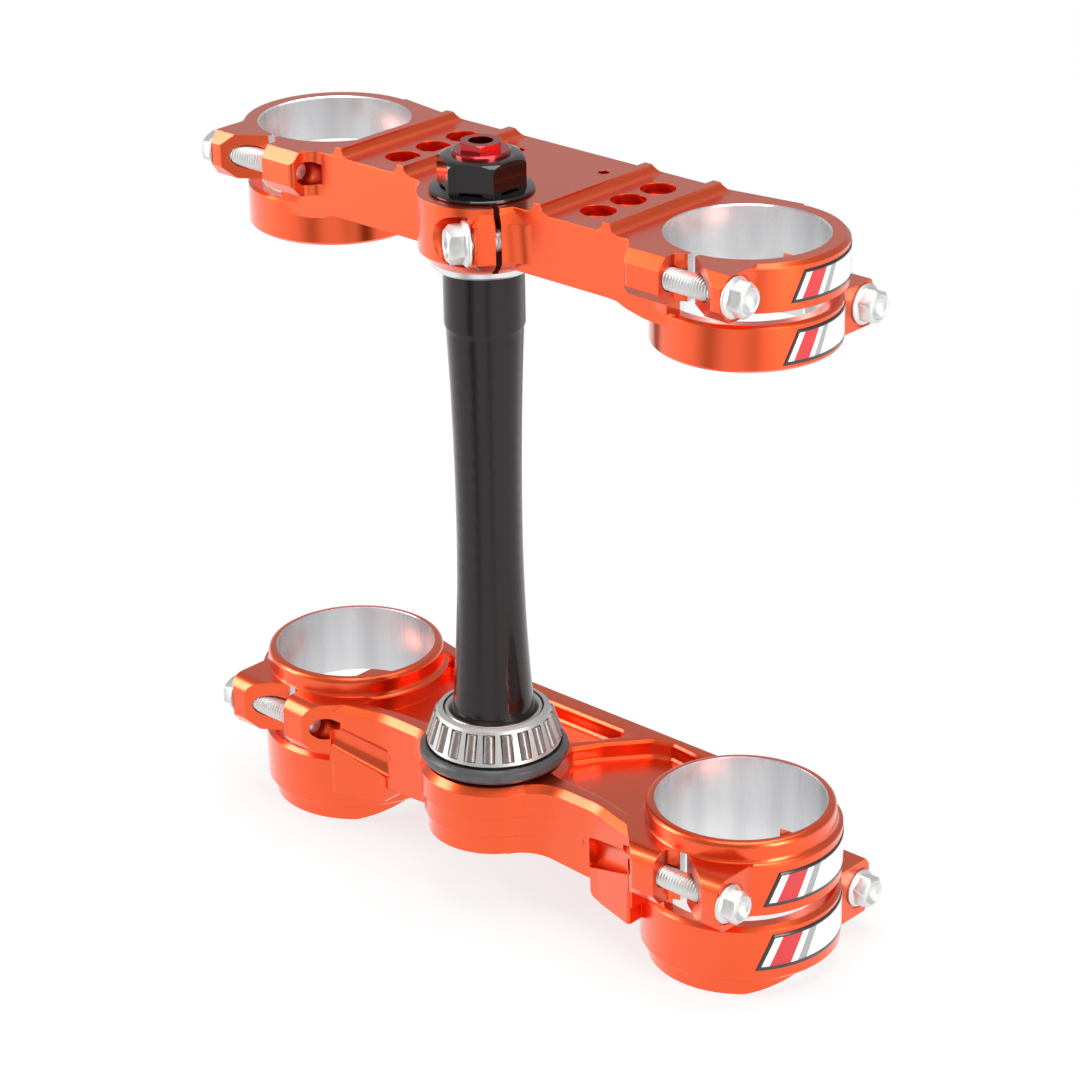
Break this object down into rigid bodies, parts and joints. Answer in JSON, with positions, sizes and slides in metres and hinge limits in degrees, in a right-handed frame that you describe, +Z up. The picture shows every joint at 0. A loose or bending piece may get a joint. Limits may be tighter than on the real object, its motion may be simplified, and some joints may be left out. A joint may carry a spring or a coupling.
{
  "type": "motorcycle triple clamp",
  "caption": "Two milled fork clamps with split, bolted collars, joined by a hollow steering stem with its nut and lower tapered roller bearing.",
  "frame": {"origin": "lower mouth of the stem's bore, on the steering axis", "axes": "+Z up along the steering axis, +X to the rider's right, +Y forward, towards the fork legs"},
  "size_m": [0.261, 0.0945, 0.2835],
  "materials": {
    "orange_anodised": "anodised satin",
    "black_anodised": "anodised satin",
    "black_steel": "black satin",
    "red_anodised": "anodised satin",
    "bare_aluminium": "turned",
    "bearing_steel": "ground",
    "cage_steel": "pressed",
    "black_rubber": "moulded",
    "bolt_steel": "zinc plated"
  },
  "bodies": {
    "clamps": {"top_clamp": "orange_anodised", "bottom_clamp": "orange_anodised", "steering_stem": "black_anodised", "stem_nut": "black_steel", "stem_cap": "red_anodised", "spacer_ring": "bare_aluminium", "bearing_inner_ring": "bearing_steel", "bearing_seal": "black_rubber", "bolt_top_upper_right": "bolt_steel", "bolt_top_upper_left": "bolt_steel", "bolt_top_lower_right": "bolt_steel", "bolt_top_lower_left": "bolt_steel", "bolt_bottom_upper_right": "bolt_steel", "bolt_bottom_upper_left": "bolt_steel", "bolt_bottom_lower_right": "bolt_steel", "bolt_bottom_lower_left": "bolt_steel", "stem_pinch_bolt": "bolt_steel"},
    "cage": {"bearing_cage": "cage_steel", "bearing_rollers": "bearing_steel"}
  },
  "joints": [
    {"name": "bearing_turn", "type": "hinge", "parent": "clamps", "child": "cage", "pos_m": [0, 0, 0.0405], "axis": [0, 0, 1], "continuous": true}
  ]
}
